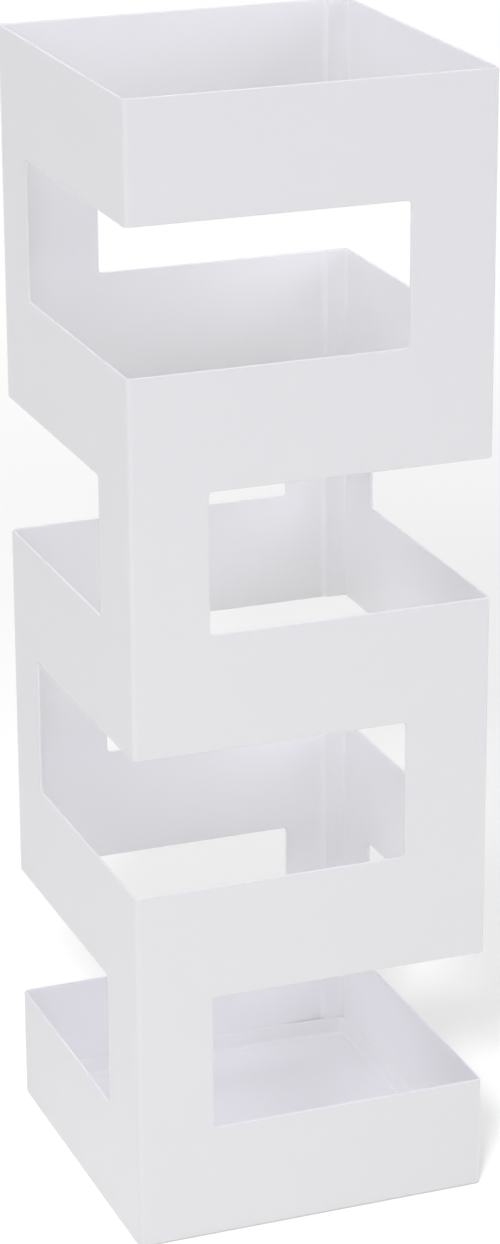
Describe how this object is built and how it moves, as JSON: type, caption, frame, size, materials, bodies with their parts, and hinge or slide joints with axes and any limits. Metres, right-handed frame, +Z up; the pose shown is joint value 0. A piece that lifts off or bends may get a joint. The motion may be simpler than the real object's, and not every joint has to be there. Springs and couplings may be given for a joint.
{
  "type": "umbrella stand",
  "caption": "Tall square umbrella stand folded from one white steel sheet, with windows that wrap alternate corners, a welded drip pan and foot pads.",
  "frame": {"origin": "on the floor under the middle of the stand", "axes": "+Z up, front wall faces -Y, left wall faces -X, seam inside the back right corner"},
  "size_m": [0.155, 0.155, 0.485],
  "materials": {
    "white_powder_coat": "satin white powder coat with a fine orange-peel texture",
    "grey_rubber": "matte"
  },
  "bodies": {
    "root": {"shell": "white_powder_coat", "base_pan": "white_powder_coat", "foot_pad_front_left": "grey_rubber", "foot_pad_front_right": "grey_rubber", "foot_pad_back_right": "grey_rubber", "foot_pad_back_left": "grey_rubber"}
  },
  "joints": []
}
